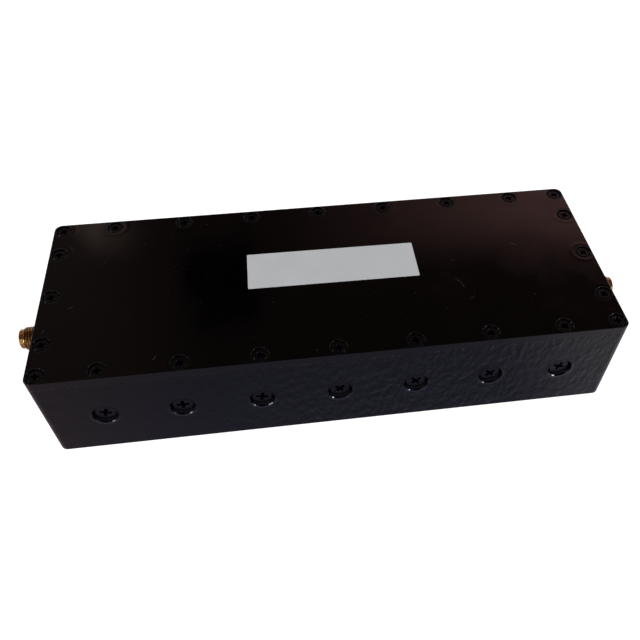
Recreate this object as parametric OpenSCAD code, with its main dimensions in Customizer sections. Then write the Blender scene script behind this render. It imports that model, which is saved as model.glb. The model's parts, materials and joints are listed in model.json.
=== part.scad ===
// Combline bandpass filter: seven rods in a milled housing, a screwed cover and a coaxial jack
// at each end. The origin is the centre of the base, +X runs from the input jack to the output
// jack, +Y points to the tuning side and +Z is up. All sizes are in millimetres.

/* [Housing] */
// Thickness of the four side walls
wall_t = 5.08; // [4.9:0.01:6.5]
// Thickness of the floor
floor_t = 2.54; // [1.5:0.01:4]
// Height of the cavity between the floor and the cover
cavity_h = 23.42; // [21:0.01:30]
// Radius of the outside corners, seen from above
corner_r = 2; // [1:0.1:5]
// Radius that the milling cutter leaves in the corners of the cavity
cutter_r = 4; // [1:0.1:8]
// Radius of the broken outside edges
edge_r = 0.15; // [0.1:0.05:0.4]
// Radius of the two edges that meet at the joint line under the cover
joint_edge_r = 0.15; // [0.05:0.05:0.3]

/* [Base holes] */
// Diameter of the four tapped mounting holes in the base
base_hole_d = 2.84; // [2:0.01:3.4]
// Depth of the mounting holes
base_hole_depth = 6.35; // [3:0.05:7]
// Distance from each end face to the centres of the mounting holes
base_hole_end = 12.7; // [8:0.1:30]

/* [Cover] */
// Thickness of the cover plate
cover_t = 2.54; // [2:0.01:4]
// Pitch of the cover screws along the length
cover_pitch_x = 19.05; // [12:0.01:30]
// Pitch of the cover screws across the width
cover_pitch_y = 15.9; // [10:0.01:24]
// Thread diameter of the cover screws
cover_screw_d = 2.18; // [1.8:0.01:2.5]
// Length of the cover screws, head included
cover_screw_l = 7.94; // [6:0.01:9]
// Diameter of the flat heads
cover_head_d = 3.8; // [3.5:0.01:4.05]
// Included angle of the flat heads and their countersinks
cover_head_angle = 82; // [80:1:100]
// Height of the flat heads' cylindrical edge
cover_head_edge = 0.1; // [0.05:0.01:0.15]
// Depth of the flat heads' faces below the cover's face
cover_head_drop = 0.25; // [0.1:0.01:0.3]
// Width of the broken edge round each countersink
countersink_edge = 0.08; // [0.05:0.01:0.1]

/* [Resonators] */
// Number of resonators
rod_count = 7; // [3:1:9]
// Pitch of the inner resonators
rod_pitch = 19.9; // [16:0.05:26]
// Pitch from each end resonator to its neighbour
rod_end_pitch = 18.95; // [16:0.05:26]
// Distance from the axis of an end resonator to the end wall
rod_end_space = 9.82; // [9:0.01:16]
// Height of the resonator axes above the cavity's floor
rod_height = 11.06; // [9.5:0.01:12.5]
// Diameter of the resonator rods
rod_d = 8; // [7.2:0.1:9]
// Length of the resonator rods
rod_l = 40; // [34:0.1:56]
// Distance from the free ends of the rods to the tuning wall
rod_tip_gap = 5.74; // [4:0.01:8]
// Diameter of the bore in a rod's free end
rod_bore_d = 6; // [5:0.1:6.4]
// Depth of the bore in a rod's free end
rod_bore_depth = 10; // [8:0.1:13]
// Size of the chamfer at a rod's free end
rod_chamfer = 0.4; // [0.1:0.1:0.5]

/* [Rod screws] */
// Thread diameter of the screws that hold the rods
rod_screw_d = 2.84; // [2.2:0.01:3]
// Length of these screws under the head
rod_screw_l = 9.5; // [7:0.1:12]
// Diameter of the pan heads
rod_head_d = 5.56; // [5:0.01:5.9]
// Height of the pan heads
rod_head_h = 1.75; // [1.4:0.01:2]
// Radius of the pan heads' outer edge
rod_head_round = 0.4; // [0.2:0.05:0.8]
// Depth of the heads' faces below the wall
rod_head_recess = 0.9; // [0.2:0.01:1]
// Diameter of the counterbores in the wall
counterbore_d = 6.2; // [6:0.01:6.8]
// Width of the broken edge round each counterbore
counterbore_edge = 0.2; // [0.1:0.05:0.4]

/* [Tuning screws] */
// Thread diameter of the tuning screws
tuning_d = 4; // [3.4:0.01:4.4]
// Length of a tuning screw outside the wall
tuning_out = 6.4; // [5.8:0.1:9]
// Length of a tuning screw inside the cavity
tuning_in = 8.6; // [6.5:0.1:10]
// Extra length outside the wall on the two end screws, which are tuned less deep
tuning_end_extra = 0.7; // [0:0.1:1.5]
// Width of the screwdriver slots
slot_w = 0.8; // [0.5:0.05:1.2]
// Depth of the screwdriver slots
slot_depth = 1.2; // [0.6:0.1:2]
// Width of the lock nuts across their flats
nut_flats = 6.35; // [6:0.05:8]
// Height of the lock nuts
nut_h = 2.4; // [1.6:0.1:3.2]

/* [Jacks] */
// Distance from the end face to the mouth of a jack
jack_l = 9.6; // [8:0.1:12]
// Width of the square flange
flange_w = 12.7; // [12:0.1:14]
// Thickness of the flange
flange_t = 1.65; // [1.2:0.05:2.2]
// Radius of the flange's corners
flange_r = 0.5; // [0.2:0.1:1]
// Pitch of the flange's four holes
flange_pitch = 8.64; // [8.4:0.01:9.2]
// Outside diameter of the coupling thread
thread_d = 6.35; // [6.1:0.01:6.6]
// Diameter of the plain lip in front of the thread
lip_d = 5.3; // [5.1:0.01:5.5]
// Length of the plain lip
lip_l = 1.3; // [0.6:0.1:1.8]
// Diameter of the mouth
mouth_d = 4.6; // [4.5:0.01:4.8]
// Depth of the mouth down to the insulator
mouth_depth = 1.93; // [1.5:0.01:2.2]
// Diameter of the insulator
insulator_d = 4.1; // [3.8:0.01:4.3]
// Diameter of the centre contact
contact_d = 1.27; // [1.2:0.01:1.4]
// Diameter of the socket in the contact
socket_d = 0.94; // [0.9:0.01:1]
// Depth of the socket in the contact
socket_depth = 3; // [2:0.1:4]
// Width of the two saw cuts that split the socket
socket_slit = 0.12; // [0.08:0.01:0.16]
// Length of the contact inside the cavity
contact_in = 2; // [1.5:0.1:2.8]

/* [Jack screws] */
// Thread diameter of the flange screws
flange_screw_d = 2.18; // [1.8:0.01:2.3]
// Thread length of a flange screw in the end wall
flange_screw_grip = 3.6; // [2.4:0.1:4]
// Diameter of the flange screws' pan heads
flange_head_d = 3.6; // [3.2:0.05:3.8]
// Height of the flange screws' pan heads
flange_head_h = 1.3; // [1:0.05:1.6]
// Radius of these heads' outer edge
flange_head_round = 0.5; // [0.2:0.05:0.6]

/* [Tap wires] */
// Diameter of the wire from each contact to its resonator
tap_d = 0.8; // [0.6:0.01:0.85]
// Depth of the wire's seats in the contact and in the rod
tap_seat = 1.5; // [1:0.1:2]

/* [Label] */
// Length of the label
label_l = 45.4; // [30:0.1:60]
// Width of the label
label_w = 12.9; // [8:0.1:20]
// Thickness of the label
label_t = 0.1; // [0.08:0.01:0.2]
// Radius of the label's corners
label_r = 0.35; // [0.1:0.05:2]
// Distance of the label's middle from the filter's middle, along X
label_x = 1.7; // [-10:0.1:10]
// Distance of the label's middle from the filter's middle, along Y
label_y = 2.95; // [-6:0.05:6]
// Turn of the label on the cover, in degrees
label_turn = -0.5; // [-3:0.1:3]

/* [Clearances] */
// Gap between a screw and its tapped hole, on the radius
thread_gap = 0.05; // [0.02:0.01:0.1]
// Gap between a screw and a plain hole that it passes, on the radius
screw_gap = 0.15; // [0.1:0.01:0.25]
// Gap between a tuning screw and its threads, on the radius
tuning_gap = 0.05; // [0.02:0.01:0.1]
// Gap round the insulator, the contact and the tap wire, on the radius
coax_gap = 0.03; // [0.02:0.01:0.05]

/* [Hidden] */
$fn = 64;
// Overshoot of a cut past the face that it opens
cut = 1;
// Least distance between two cover screws
screw_spacing_min = 8;
// Depth of a tapped hole past the end of its screw
tap_runout = 0.6;
// Height that a flat head stands off its countersink
seat_gap = 0.03;
// Width across the arms of a cross recess and width of an arm, as shares of the head's diameter
pan_recess = [0.57, 0.15];
flat_recess = [0.55, 0.19];
// Depth of a pan head's recess, as a share of the head's height
pan_recess_depth = 0.8;
// Width of a cross recess at its bottom, as a share of its width at the face
recess_foot = 0.36;
// Turns of the recesses as the screws were left, in degrees, in the order of their places
rod_screw_turns = [-17, 0, -12, 45, 42, 45, -20];
cover_screw_turns = [
    0, 40, 0, 25,
    5, 25, 45, 20, 5, 35, 30,
    40, 10, 30, 0, 20, 45, 10,
    20, 25, 10, 50, 35, 60
];
// Bevel at both ends of a tuning screw
tuning_bevel = 0.3;
// Bevel at the mouth of a jack
jack_bevel = 0.2;
// Step of the turn from one tuning screw and its nut to the next
turn_step = 37;
// Slope of the lock nuts' turned corners, in degrees
nut_slope = 30;
// Width of the round face that this slope leaves, as a share of the width across the flats
nut_face = 0.96;

axis_z = floor_t + rod_height;
housing_h = floor_t + cavity_h;
body_h = housing_h + cover_t;
cavity_l = 2 * (rod_x(rod_count - 1) + rod_end_space);
cavity_w = rod_l + rod_tip_gap;
body_l = cavity_l + 2 * wall_t;
body_w = cavity_w + 2 * wall_t;

corner_x = body_l / 2 - wall_t / 2;
corner_y = body_w / 2 - wall_t / 2;
steps_x = floor((corner_x - screw_spacing_min) / cover_pitch_x);
steps_y = floor((corner_y - screw_spacing_min) / cover_pitch_y);
cover_screw_places = concat(
    [for (sx = [-1, 1], sy = [-1, 1]) [sx * corner_x, sy * corner_y]],
    [for (sy = [-1, 1], i = [-steps_x:steps_x]) [i * cover_pitch_x, sy * corner_y]],
    [for (sx = [-1, 1], j = [-steps_y:steps_y]) [sx * corner_x, j * cover_pitch_y]]
);
cover_hole_depth = cover_screw_l - cover_t + tap_runout;
countersink_d = cover_head_d
    + 2 * (cover_head_drop + cover_head_edge + seat_gap) * tan(cover_head_angle / 2);
counterbore_depth = rod_head_h + rod_head_recess;
rod_thread_depth = rod_screw_l + counterbore_depth - wall_t + tap_runout;
tuning_l = tuning_out + wall_t + tuning_in;
flange_hole_d = flange_screw_d + 2 * screw_gap;
flange_thread_depth = flange_screw_grip + tap_runout;

paint = [0.07, 0.065, 0.07];
black_steel = [0.10, 0.10, 0.11];
steel = [0.62, 0.62, 0.64];
brass = [0.78, 0.62, 0.32];
gold = [0.85, 0.66, 0.30];
silver = [0.82, 0.82, 0.83];
ptfe = [0.95, 0.95, 0.93];
label_white = [0.80, 0.81, 0.81];

// Place of resonator i along X, counted from 0
function rod_x(i) =
    let (step = i - (rod_count - 1) / 2, last = (rod_count - 1) / 2)
    abs(step) < last ? step * rod_pitch : sign(step) * ((last - 1) * rod_pitch + rod_end_pitch);

// Length of tuning screw i outside the wall
function tuning_stand(i) = tuning_out + (i == 0 || i == rod_count - 1 ? tuning_end_extra : 0);

// Puts its children on the wall that carries the rods, with +Z pointing out of the wall
module on_rod_wall(i) {
    translate([rod_x(i), -body_w / 2, axis_z]) rotate([90, 0, 0]) children();
}

// Puts its children on the tuning wall, with +Z pointing out of the wall
module on_tuning_wall(i) {
    translate([rod_x(i), body_w / 2, axis_z]) rotate([-90, 0, 0]) children();
}

// Puts its children on an end face, with +Z pointing out of it: side is -1 or 1
module on_end(side) {
    translate([side * body_l / 2, 0, axis_z]) rotate([0, side * 90, 0]) children();
}

module at_flange_holes() {
    for (sx = [-1, 1], sy = [-1, 1])
        translate([sx * flange_pitch / 2, sy * flange_pitch / 2, 0]) children();
}

// Rectangle that stands on the X axis, with its four corners rounded
module rounded_section(w, h, top_r, bottom_r) {
    translate([-w / 2, bottom_r]) square([w, h - top_r - bottom_r]);
    translate([-w / 2 + top_r, h - top_r]) square([w - 2 * top_r, top_r]);
    translate([-w / 2 + bottom_r, 0]) square([w - 2 * bottom_r, bottom_r]);
    for (s = [-1, 1]) {
        translate([s * (w / 2 - top_r), h - top_r]) circle(r = top_r);
        translate([s * (w / 2 - bottom_r), bottom_r]) circle(r = bottom_r);
    }
}

// Block with round corners seen from above and broken edges at its top and bottom
module rounded_block(l, w, h, top_r, bottom_r) {
    translate([0, w / 2 - corner_r, 0]) rotate([90, 0, 0])
        linear_extrude(w - 2 * corner_r) rounded_section(l, h, top_r, bottom_r);
    translate([-l / 2 + corner_r, 0, 0]) rotate([90, 0, 90])
        linear_extrude(l - 2 * corner_r) rounded_section(w, h, top_r, bottom_r);
    for (sx = [-1, 1], sy = [-1, 1])
        translate([sx * (l / 2 - corner_r), sy * (w / 2 - corner_r), 0])
            rotate_extrude() intersection() {
                rounded_section(2 * corner_r, h, top_r, bottom_r);
                square([corner_r, h]);
            }
}

// Box with vertical round corners, for a pocket as an end mill leaves it or for a small plate
module round_corner_box(l, w, h, r) {
    translate([-l / 2 + r, -w / 2, 0]) cube([l - 2 * r, w, h]);
    translate([-l / 2, -w / 2 + r, 0]) cube([l, w - 2 * r, h]);
    for (sx = [-1, 1], sy = [-1, 1])
        translate([sx * (l / 2 - r), sy * (w / 2 - r), 0]) cylinder(r = r, h = h);
}

// Cut that breaks the edge of a hole of diameter d whose mouth is at the origin
module broken_edge(d, width) {
    translate([0, 0, -width]) cylinder(d1 = d, d2 = d + 2 * (width + cut), h = width + cut);
}

// Cross recess that goes down from the origin: its arms shorten with the depth
module cross_recess(span, arm_w, depth) {
    foot = span * recess_foot;
    rise = depth + cut;
    translate([0, 0, -depth]) intersection() {
        cylinder(d1 = foot, d2 = foot + (span - foot) * rise / depth, h = rise);
        union() {
            translate([-span, -arm_w / 2, 0]) cube([2 * span, arm_w, rise]);
            translate([-arm_w / 2, -span, 0]) cube([arm_w, 2 * span, rise]);
        }
    }
}

// Pan head screw: the seat of the head is at the origin and the thread points down
module pan_screw(thread, head_d, head_h, round_r, grip, turn) {
    difference() {
        union() {
            rotate_extrude() {
                square([head_d / 2, head_h - round_r]);
                square([head_d / 2 - round_r, head_h]);
                intersection() {
                    translate([head_d / 2 - round_r, head_h - round_r]) circle(r = round_r);
                    square([head_d / 2, head_h]);
                }
            }
            translate([0, 0, -grip]) cylinder(d = thread, h = grip);
        }
        translate([0, 0, head_h]) rotate([0, 0, turn])
            cross_recess(head_d * pan_recess[0], head_d * pan_recess[1], head_h * pan_recess_depth);
    }
}

// Flat head screw: the face of the head is at the origin and the thread points down
module flat_screw(turn) {
    cone_h = (cover_head_d - cover_screw_d) / 2 / tan(cover_head_angle / 2);
    difference() {
        rotate_extrude() polygon([
            [0, 0],
            [cover_head_d / 2, 0],
            [cover_head_d / 2, -cover_head_edge],
            [cover_screw_d / 2, -cover_head_edge - cone_h],
            [cover_screw_d / 2, -cover_screw_l],
            [0, -cover_screw_l]
        ]);
        rotate([0, 0, turn])
            cross_recess(cover_head_d * flat_recess[0], cover_head_d * flat_recess[1], cone_h);
    }
}

module housing() {
    color(paint) difference() {
        rounded_block(body_l, body_w, housing_h, joint_edge_r, edge_r);
        translate([0, 0, floor_t]) round_corner_box(cavity_l, cavity_w, cavity_h + cut, cutter_r);
        for (place = cover_screw_places)
            translate([place.x, place.y, housing_h - cover_hole_depth])
                cylinder(d = cover_screw_d + 2 * thread_gap, h = cover_hole_depth + cut);
        for (i = [0:rod_count - 1]) {
            on_rod_wall(i) translate([0, 0, -counterbore_depth])
                cylinder(d = counterbore_d, h = counterbore_depth + cut);
            on_rod_wall(i) broken_edge(counterbore_d, counterbore_edge);
            on_rod_wall(i) translate([0, 0, -wall_t - cut])
                cylinder(d = rod_screw_d + 2 * screw_gap, h = wall_t + cut);
            on_tuning_wall(i) translate([0, 0, -wall_t - cut])
                cylinder(d = tuning_d + 2 * tuning_gap, h = wall_t + 2 * cut);
        }
        for (side = [-1, 1]) on_end(side) {
            translate([0, 0, -wall_t - cut])
                cylinder(d = insulator_d + 2 * coax_gap, h = wall_t + 2 * cut);
            at_flange_holes() translate([0, 0, -flange_thread_depth])
                cylinder(d = flange_screw_d + 2 * thread_gap, h = flange_thread_depth + cut);
        }
        for (sx = [-1, 1], sy = [-1, 1])
            translate([sx * (body_l / 2 - base_hole_end), sy * corner_y, -cut])
                cylinder(d = base_hole_d, h = base_hole_depth + cut);
    }
}

module cover() {
    flare = 2 * tan(cover_head_angle / 2);
    countersink_h = countersink_d / flare;
    color(paint) translate([0, 0, housing_h]) difference() {
        rounded_block(body_l, body_w, cover_t, edge_r, joint_edge_r);
        for (place = cover_screw_places) translate([place.x, place.y, 0]) {
            translate([0, 0, -cut]) cylinder(d = cover_screw_d + 2 * screw_gap, h = cover_t + 2 * cut);
            translate([0, 0, cover_t - countersink_h])
                cylinder(d1 = 0, d2 = countersink_d + flare * cut, h = countersink_h + cut);
            translate([0, 0, cover_t]) broken_edge(countersink_d, countersink_edge);
        }
    }
}

module cover_screws() {
    color(black_steel) for (i = [0:len(cover_screw_places) - 1])
        translate([cover_screw_places[i].x, cover_screw_places[i].y, body_h - cover_head_drop])
            flat_screw(cover_screw_turns[i % len(cover_screw_turns)]);
}

module label() {
    color(label_white) translate([label_x, label_y, body_h]) rotate([0, 0, label_turn])
        round_corner_box(label_l, label_w, label_t, label_r);
}

module rod_screws() {
    color(black_steel) for (i = [0:rod_count - 1])
        on_rod_wall(i) translate([0, 0, -counterbore_depth])
            pan_screw(rod_screw_d, rod_head_d, rod_head_h, rod_head_round, rod_screw_l,
                rod_screw_turns[i % len(rod_screw_turns)]);
}

// Rod i stands on the inside of its wall: its free end is bored, and an end rod has a tap hole
module resonator(i) {
    side = i == 0 ? -1 : 1;
    color(silver) difference() {
        on_rod_wall(i) translate([0, 0, -wall_t]) rotate([180, 0, 0]) difference() {
            rotate_extrude() polygon([
                [0, 0],
                [rod_d / 2, 0],
                [rod_d / 2, rod_l - rod_chamfer],
                [rod_d / 2 - rod_chamfer, rod_l],
                [0, rod_l]
            ]);
            translate([0, 0, -cut]) cylinder(d = rod_screw_d + 2 * thread_gap,
                h = rod_thread_depth + cut);
            translate([0, 0, rod_l - rod_bore_depth])
                cylinder(d = rod_bore_d, h = rod_bore_depth + cut);
        }
        if (i == 0 || i == rod_count - 1)
            translate([rod_x(i), 0, axis_z]) rotate([0, side * 90, 0])
                translate([0, 0, rod_d / 2 - tap_seat])
                    cylinder(d = tap_d + 2 * coax_gap, h = tap_seat + cut);
    }
}

// Slotted screw through the tuning wall: its tip reaches into the bore of rod i
module tuning_screw(i) {
    color(brass) on_tuning_wall(i) translate([0, 0, tuning_stand(i) - tuning_l]) difference() {
        rotate_extrude() polygon([
            [0, 0],
            [tuning_d / 2 - tuning_bevel, 0],
            [tuning_d / 2, tuning_bevel],
            [tuning_d / 2, tuning_l - tuning_bevel],
            [tuning_d / 2 - tuning_bevel, tuning_l],
            [0, tuning_l]
        ]);
        rotate([0, 0, i * turn_step]) translate([-tuning_d, -slot_w / 2, tuning_l - slot_depth])
            cube([2 * tuning_d, slot_w, slot_depth + cut]);
    }
}

module lock_nut(i) {
    face_r = nut_flats * nut_face / 2;
    nut_corners = nut_flats / cos(180 / 6);
    reach = nut_corners / 2 + cut;
    color(brass) on_tuning_wall(i) difference() {
        intersection() {
            rotate([0, 0, i * turn_step]) cylinder(d = nut_corners, h = nut_h, $fn = 6);
            rotate_extrude() polygon([
                [0, 0],
                [reach, 0],
                [reach, nut_h - (reach - face_r) * tan(nut_slope)],
                [face_r, nut_h],
                [0, nut_h]
            ]);
        }
        translate([0, 0, -cut]) cylinder(d = tuning_d + 2 * tuning_gap, h = nut_h + 2 * cut);
    }
}

module jack(side) {
    color(gold) on_end(side) difference() {
        union() {
            round_corner_box(flange_w, flange_w, flange_t, flange_r);
            cylinder(d = thread_d, h = jack_l - lip_l);
            rotate_extrude() polygon([
                [0, 0],
                [lip_d / 2, 0],
                [lip_d / 2, jack_l - jack_bevel],
                [lip_d / 2 - jack_bevel, jack_l],
                [0, jack_l]
            ]);
        }
        translate([0, 0, -cut]) cylinder(d = insulator_d + 2 * coax_gap, h = jack_l + 2 * cut);
        translate([0, 0, jack_l - mouth_depth]) cylinder(d = mouth_d, h = mouth_depth + cut);
        at_flange_holes() translate([0, 0, -cut]) cylinder(d = flange_hole_d, h = flange_t + 2 * cut);
    }
}

module insulator(side) {
    length = jack_l - mouth_depth + wall_t;
    color(ptfe) on_end(side) translate([0, 0, -wall_t]) difference() {
        cylinder(d = insulator_d, h = length);
        translate([0, 0, -cut]) cylinder(d = contact_d + 2 * coax_gap, h = length + 2 * cut);
    }
}

module contact(side) {
    length = jack_l - mouth_depth + wall_t + contact_in;
    color(gold) on_end(side) translate([0, 0, -wall_t - contact_in]) difference() {
        cylinder(d = contact_d, h = length);
        translate([0, 0, length - socket_depth]) cylinder(d = socket_d, h = socket_depth + cut);
        for (turn = [0, 90]) rotate([0, 0, turn])
            translate([-contact_d, -socket_slit / 2, length - socket_depth])
                cube([2 * contact_d, socket_slit, socket_depth + cut]);
        translate([0, 0, -cut]) cylinder(d = tap_d + 2 * coax_gap, h = tap_seat + cut);
    }
}

// Wire from the solder cup of the contact into the tap hole of the end rod
module tap_wire(side) {
    from_wall = contact_in - tap_seat;
    to_rod = rod_end_space - rod_d / 2 + tap_seat;
    color(silver) on_end(side) translate([0, 0, -wall_t - to_rod])
        cylinder(d = tap_d, h = to_rod - from_wall);
}

module flange_screws(side) {
    color(steel) on_end(side) at_flange_holes() translate([0, 0, flange_t])
        pan_screw(flange_screw_d, flange_head_d, flange_head_h, flange_head_round,
            flange_t + flange_screw_grip, turn_step);
}

housing();
cover();
cover_screws();
label();
rod_screws();
for (i = [0:rod_count - 1]) {
    resonator(i);
    tuning_screw(i);
    lock_nut(i);
}
for (side = [-1, 1]) {
    port = side < 0 ? "input" : "output";
    jack(side);
    insulator(side);
    contact(side);
    tap_wire(side);
    flange_screws(side);
}
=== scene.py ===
"""Finishes a combline bandpass filter: paints, plates and threads its pieces, and lights it.

All places and sizes are in metres in the frame of the packed model: the base lies on the floor,
+X runs from the input jack to the output jack, +Y points to the tuning side and +Z is up. Only the
finishes count in millimetres, because their grain is that fine.
"""

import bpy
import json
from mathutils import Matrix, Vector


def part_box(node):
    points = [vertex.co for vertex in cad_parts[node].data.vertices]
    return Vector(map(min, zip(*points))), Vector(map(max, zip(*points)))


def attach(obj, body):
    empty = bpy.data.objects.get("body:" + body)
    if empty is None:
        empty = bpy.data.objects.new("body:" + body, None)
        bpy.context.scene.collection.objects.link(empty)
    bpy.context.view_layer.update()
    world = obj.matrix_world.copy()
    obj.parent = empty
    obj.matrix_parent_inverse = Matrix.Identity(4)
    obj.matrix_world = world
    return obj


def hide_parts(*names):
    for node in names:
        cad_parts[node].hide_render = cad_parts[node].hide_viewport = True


bl_info = {
    "name": "Bandpass Filter Finish",
    "version": (1, 0, 0),
    "blender": (4, 5, 0),
    "location": "3D Viewport > Sidebar > Filter",
    "description": "Paints, plates and threads the pieces of a cavity filter and sets up its studio",
    "category": "Object",
}

import json
import math
from typing import NamedTuple

import bmesh
import bpy
from mathutils import Matrix, Vector

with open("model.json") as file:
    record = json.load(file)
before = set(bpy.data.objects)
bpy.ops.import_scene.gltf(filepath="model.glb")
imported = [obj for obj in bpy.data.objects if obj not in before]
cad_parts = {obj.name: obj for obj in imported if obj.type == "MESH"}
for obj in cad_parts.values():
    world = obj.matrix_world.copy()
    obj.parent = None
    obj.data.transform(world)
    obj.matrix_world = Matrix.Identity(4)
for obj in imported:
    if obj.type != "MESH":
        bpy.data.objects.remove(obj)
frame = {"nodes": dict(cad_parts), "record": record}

MM = 0.001
RODS = sum(name.startswith("resonator_") for name in frame["nodes"])
PORTS = {"input": -1, "output": 1}
MOUNTS = {mount["name"]: mount for mount in frame["record"]["mounts"]}


# Settings

class PaintSettings(bpy.types.PropertyGroup):
    """Black paint on the housing and the cover"""

    wall_colour: bpy.props.FloatVectorProperty(
        name="Wall colour", description="Colour of the satin paint on the walls",
        subtype="COLOR", size=3, min=0, max=1, default=(0.0008, 0.0008, 0.0022))
    wall_roughness: bpy.props.FloatProperty(
        name="Wall roughness", description="Roughness of the satin paint",
        subtype="FACTOR", min=0, max=1, default=0.36)
    cover_colour: bpy.props.FloatVectorProperty(
        name="Cover colour", description="Colour of the gloss paint on the cover",
        subtype="COLOR", size=3, min=0, max=1, default=(0.0005, 0.0004, 0.0004))
    cover_roughness: bpy.props.FloatProperty(
        name="Cover roughness", description="Roughness of the gloss paint",
        subtype="FACTOR", min=0, max=1, default=0.085)
    peel_size: bpy.props.FloatProperty(
        name="Orange peel", description="Size of the orange peel in the paint",
        unit="LENGTH", default=0.9 * MM)
    hammer_size: bpy.props.FloatProperty(
        name="Hammered dents", description="Size of the dents that the walls show towards +X",
        unit="LENGTH", default=1.5 * MM)
    rim_radius: bpy.props.FloatProperty(
        name="Rim radius", description="Radius of the raised paint round the rod screws",
        unit="LENGTH", default=3.9 * MM)
    screw_pitch_x: bpy.props.FloatProperty(
        name="Screw pitch along", description="Pitch of the cover screws along the length",
        unit="LENGTH", default=19.05 * MM)
    screw_pitch_y: bpy.props.FloatProperty(
        name="Screw pitch across", description="Pitch of the cover screws across the width",
        unit="LENGTH", default=15.9 * MM)
    screw_edge: bpy.props.FloatProperty(
        name="Screw edge distance", description="Distance of the cover screws from the edges",
        unit="LENGTH", default=2.54 * MM)


class MetalSettings(bpy.types.PropertyGroup):
    """Colours of the bare and plated metals"""

    gold: bpy.props.FloatVectorProperty(
        name="Gold", description="Colour of the gold plate on the jacks and contacts",
        subtype="COLOR", size=3, min=0, max=1, default=(0.44, 0.275, 0.11))
    brass: bpy.props.FloatVectorProperty(
        name="Brass", description="Colour of the tuning screws and their nuts",
        subtype="COLOR", size=3, min=0, max=1, default=(0.78, 0.60, 0.30))
    silver: bpy.props.FloatVectorProperty(
        name="Silver", description="Colour of the silver plate in the cavity",
        subtype="COLOR", size=3, min=0, max=1, default=(0.80, 0.78, 0.74))
    steel: bpy.props.FloatVectorProperty(
        name="Steel", description="Colour of the stainless flange screws",
        subtype="COLOR", size=3, min=0, max=1, default=(0.56, 0.56, 0.57))
    oxide: bpy.props.FloatVectorProperty(
        name="Black oxide", description="Colour of the blackened screws",
        subtype="COLOR", size=3, min=0, max=1, default=(0.0013, 0.0012, 0.0014))


class ThreadSettings(bpy.types.PropertyGroup):
    """Cut threads on the jacks and on the tuning screws"""

    jack_pitch: bpy.props.FloatProperty(
        name="Jack pitch", description="Pitch of the coupling thread, 36 turns to the inch",
        unit="LENGTH", default=0.7056 * MM)
    jack_depth: bpy.props.FloatProperty(
        name="Jack depth", description="Depth of the coupling thread",
        unit="LENGTH", default=0.36 * MM)
    jack_lip: bpy.props.FloatProperty(
        name="Jack lip", description="Diameter of the plain lip at the mouth of a jack",
        unit="LENGTH", default=5.3 * MM)
    tuning_pitch: bpy.props.FloatProperty(
        name="Tuning pitch", description="Pitch of the tuning screws' fine thread",
        unit="LENGTH", default=0.5 * MM)
    tuning_depth: bpy.props.FloatProperty(
        name="Tuning depth", description="Depth of the tuning screws' thread",
        unit="LENGTH", default=0.26 * MM)
    slot_width: bpy.props.FloatProperty(
        name="Slot width", description="Width of the screwdriver slots",
        unit="LENGTH", default=0.8 * MM)
    slot_depth: bpy.props.FloatProperty(
        name="Slot depth", description="Depth of the screwdriver slots",
        unit="LENGTH", default=1.2 * MM)
    slot_step: bpy.props.FloatProperty(
        name="Slot step", description="Turn of the slot from one tuning screw to the next",
        subtype="ANGLE", default=math.radians(37))


class LabelSettings(bpy.types.PropertyGroup):
    """Blank label on the cover"""

    colour: bpy.props.FloatVectorProperty(
        name="Film colour", description="Colour of the label's film",
        subtype="COLOR", size=3, min=0, max=1, default=(0.478, 0.489, 0.505))
    corner: bpy.props.FloatProperty(
        name="Corner radius", description="Radius of the label's corners",
        unit="LENGTH", default=0.35 * MM)
    turn: bpy.props.FloatProperty(
        name="Turn", description="Turn of the label on the cover",
        subtype="ANGLE", default=math.radians(-0.5))


class StageSettings(bpy.types.PropertyGroup):
    """Camera, lamps and floor"""

    camera_place: bpy.props.FloatVectorProperty(
        name="Camera place", description="Where the camera stands",
        subtype="TRANSLATION", unit="LENGTH", size=3, default=(-0.01201, -0.12945, 0.15632))
    camera_aim: bpy.props.FloatVectorProperty(
        name="Camera aim", description="Point that the camera looks at",
        subtype="TRANSLATION", unit="LENGTH", size=3, default=(0.00663, -0.01329, 0.014))
    camera_roll: bpy.props.FloatProperty(
        name="Camera roll", description="Turn of the camera about its line of sight",
        subtype="ANGLE", default=math.radians(1.549))
    lens: bpy.props.FloatProperty(
        name="Lens", description="Focal length on a sensor 36 mm wide",
        subtype="DISTANCE_CAMERA", unit="CAMERA", default=38.32)
    shift: bpy.props.FloatVectorProperty(
        name="Shift", description="Shift of the lens, as a share of the sensor's width",
        size=2, default=(-0.0594, 0.0375))
    floor_size: bpy.props.FloatProperty(
        name="Floor size", description="Length of the floor's sides",
        unit="LENGTH", default=24)
    lamp_level: bpy.props.FloatProperty(
        name="Lamp level", description="Factor on the power of all lamps",
        min=0, default=1)


# Nodes

def add_node(tree, kind, inputs=None, **settings):
    """Adds a node, sets its properties and fills its inputs with values or with other sockets."""
    node = tree.nodes.new(kind)
    for name, value in settings.items():
        setattr(node, name, value)
    for key, value in (inputs or {}).items():
        if isinstance(value, bpy.types.NodeSocket):
            tree.links.new(value, node.inputs[key])
        else:
            node.inputs[key].default_value = value
    return node


def calculate(tree, operation, *values, clamp=False):
    """Result of a Math node on up to three values or sockets."""
    return add_node(tree, "ShaderNodeMath", dict(enumerate(values)),
                    operation=operation, use_clamp=clamp).outputs[0]


def remap(tree, value, low, high, to_low=0.0, to_high=1.0):
    """Maps value from low..high to to_low..to_high, smoothly and within those limits."""
    return add_node(tree, "ShaderNodeMapRange", {
        "Value": value, "From Min": low, "From Max": high, "To Min": to_low, "To Max": to_high,
    }, interpolation_type="SMOOTHSTEP").outputs["Result"]


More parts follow.
